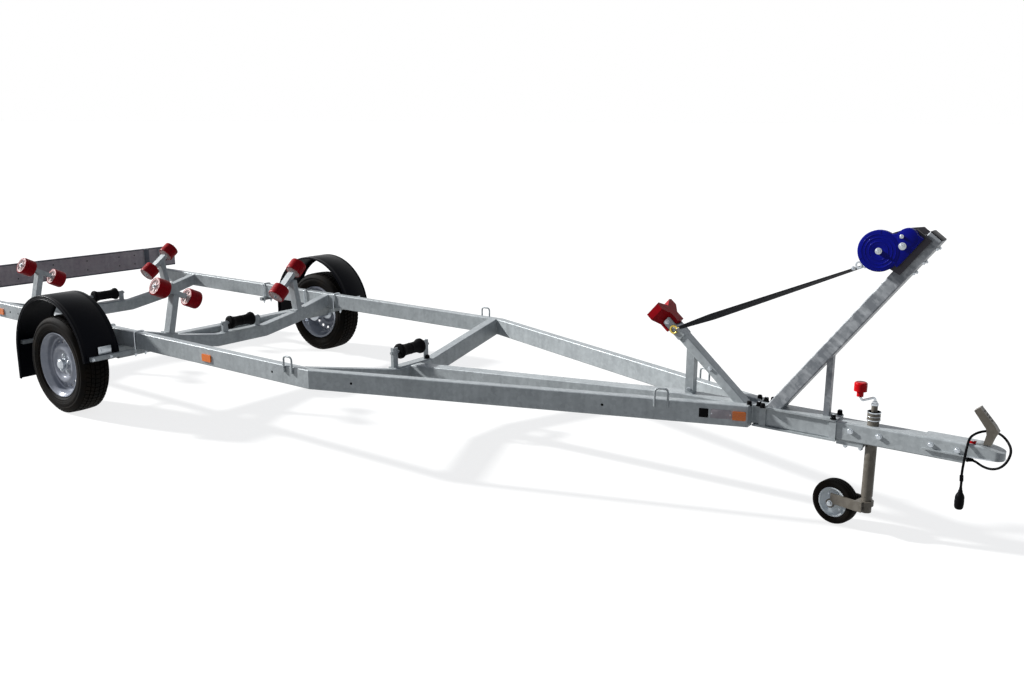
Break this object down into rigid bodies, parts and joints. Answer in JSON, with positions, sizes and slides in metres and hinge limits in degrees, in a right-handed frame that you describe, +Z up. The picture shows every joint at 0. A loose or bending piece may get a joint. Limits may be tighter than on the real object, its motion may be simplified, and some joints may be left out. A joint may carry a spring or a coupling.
{
  "type": "boat trailer",
  "caption": "Galvanised boat trailer with V-shaped cross-members, side and keel rollers, winch post, bow snubber, jockey wheel and ball coupling.",
  "frame": {"origin": "on the ground, in the middle of the trailer's length and width", "axes": "+X forward to the ball coupling, +Y to the trailer's left, +Z up"},
  "size_m": [6.7916, 2.3, 1.3334],
  "materials": {
    "galvanised": "hot-dip galvanised, soft spangle, satin",
    "zinc_plate": "bright zinc plated, satin",
    "black_plastic": "moulded, fine grain, satin",
    "board_zinc": "galvanised sheet, weathered, matt",
    "lamp_red": "moulded lens, glossy",
    "plate_white": "plain, satin",
    "tyre_rubber": "treaded, matt",
    "wheel_silver": "silver paint, satin",
    "jockey_rim_grey": "moulded, matt",
    "red_rubber": "moulded polyurethane, satin",
    "red_plastic": "moulded, glossy",
    "black_rubber": "moulded, matt",
    "winch_blue": "powder coat, gloss",
    "winch_grey": "dark zinc, satin",
    "webbing": "woven polyester webbing, matt",
    "yellow_zinc": "yellow passivated zinc, satin",
    "cable_plastic": "moulded, matt",
    "amber_plastic": "prismatic moulded lens, glossy"
  },
  "bodies": {
    "chassis": {"axle_beam": "galvanised", "board_arms": "galvanised", "cable": "black_rubber", "clamp_plates": "galvanised", "coupling_handle": "zinc_plate", "coupling_head": "galvanised", "cross_member_front": "galvanised", "cross_member_mid": "galvanised", "cross_member_rear": "galvanised", "drawbar": "galvanised", "jockey_crank": "zinc_plate", "jockey_knob": "red_plastic", "jockey_tube": "zinc_plate", "keel_beam": "galvanised", "keel_brackets": "galvanised", "light_board": "board_zinc", "mudguard_bars": "galvanised", "mudguard_left": "black_plastic", "mudguard_right": "black_plastic", "number_plate": "plate_white", "plug": "cable_plastic", "rail_left": "galvanised", "rail_right": "galvanised", "rear_lamps": "lamp_red", "reflectors_amber": "amber_plastic", "side_posts_front": "galvanised", "side_posts_rear": "galvanised", "snubber_block": "red_rubber", "snubber_post": "galvanised", "strap_hook": "yellow_zinc", "swing_arms": "galvanised", "tie_down_hoops": "galvanised", "winch_case": "winch_blue", "winch_drum": "zinc_plate", "winch_frame": "winch_grey", "winch_post": "galvanised", "winch_strap": "webbing"},
    "wheel_right": {"tyre_right": "tyre_rubber", "rim_right": "wheel_silver", "hub_right": "zinc_plate"},
    "wheel_left": {"tyre_left": "tyre_rubber", "rim_left": "wheel_silver", "hub_left": "zinc_plate"},
    "side_roller_rear_right": {"side_rollers_rear_right": "red_rubber"},
    "side_roller_rear_left": {"side_rollers_rear_left": "red_rubber"},
    "side_roller_front_right": {"side_rollers_front_right": "red_rubber"},
    "side_roller_front_left": {"side_rollers_front_left": "red_rubber"},
    "keel_roller_rear": {"keel_roller_rear": "black_rubber"},
    "keel_roller_mid": {"keel_roller_mid": "black_rubber"},
    "keel_roller_front": {"keel_roller_front": "black_rubber"},
    "jockey_leg": {"jockey_inner_tube": "zinc_plate"},
    "jockey_swivel": {"jockey_fork": "zinc_plate"},
    "jockey_wheel": {"jockey_tyre": "tyre_rubber", "jockey_rim": "jockey_rim_grey"}
  },
  "joints": [
    {"name": "wheel_right_spin", "type": "hinge", "parent": "chassis", "child": "wheel_right", "pos_m": [-1.5675, -1.0375, 0.297], "axis": [0, 1, 0], "continuous": true},
    {"name": "wheel_left_spin", "type": "hinge", "parent": "chassis", "child": "wheel_left", "pos_m": [-1.5675, 1.0375, 0.297], "axis": [0, 1, 0], "continuous": true},
    {"name": "side_roller_rear_right_spin", "type": "hinge", "parent": "chassis", "child": "side_roller_rear_right", "pos_m": [-2.8455, -0.48, 0.657], "axis": [0.0202, 0.8924, -0.4509], "continuous": true},
    {"name": "side_roller_rear_left_spin", "type": "hinge", "parent": "chassis", "child": "side_roller_rear_left", "pos_m": [-2.8455, 0.48, 0.632], "axis": [0.0183, -0.8078, -0.5892], "continuous": true},
    {"name": "side_roller_front_right_spin", "type": "hinge", "parent": "chassis", "child": "side_roller_front_right", "pos_m": [-1.2995, -0.452, 0.668], "axis": [0.0604, 0.9101, -0.4099], "continuous": true},
    {"name": "side_roller_front_left_spin", "type": "hinge", "parent": "chassis", "child": "side_roller_front_left", "pos_m": [-1.2995, 0.452, 0.636], "axis": [0.0504, -0.7587, -0.6494], "continuous": true},
    {"name": "keel_roller_rear_spin", "type": "hinge", "parent": "chassis", "child": "keel_roller_rear", "pos_m": [-2.8635, 0, 0.424], "axis": [0, 1, 0], "continuous": true},
    {"name": "keel_roller_mid_spin", "type": "hinge", "parent": "chassis", "child": "keel_roller_mid", "pos_m": [-1.2625, 0, 0.426], "axis": [0, 1, 0], "continuous": true},
    {"name": "keel_roller_front_spin", "type": "hinge", "parent": "chassis", "child": "keel_roller_front", "pos_m": [0.2525, 0, 0.447], "axis": [0, 1, 0], "continuous": true},
    {"name": "jockey_leg_slide", "type": "slide", "parent": "chassis", "child": "jockey_leg", "axis": [0, 0, 1], "range_m": [-0.2, 0]},
    {"name": "jockey_swivel_turn", "type": "hinge", "parent": "jockey_leg", "child": "jockey_swivel", "pos_m": [2.8705, 0, 0.136], "axis": [0, 0, 1], "continuous": true},
    {"name": "jockey_wheel_spin", "type": "hinge", "parent": "jockey_swivel", "child": "jockey_wheel", "pos_m": [2.73019, 0.03239, 0.1], "axis": [0.225, 0.9744, 0], "continuous": true}
  ]
}
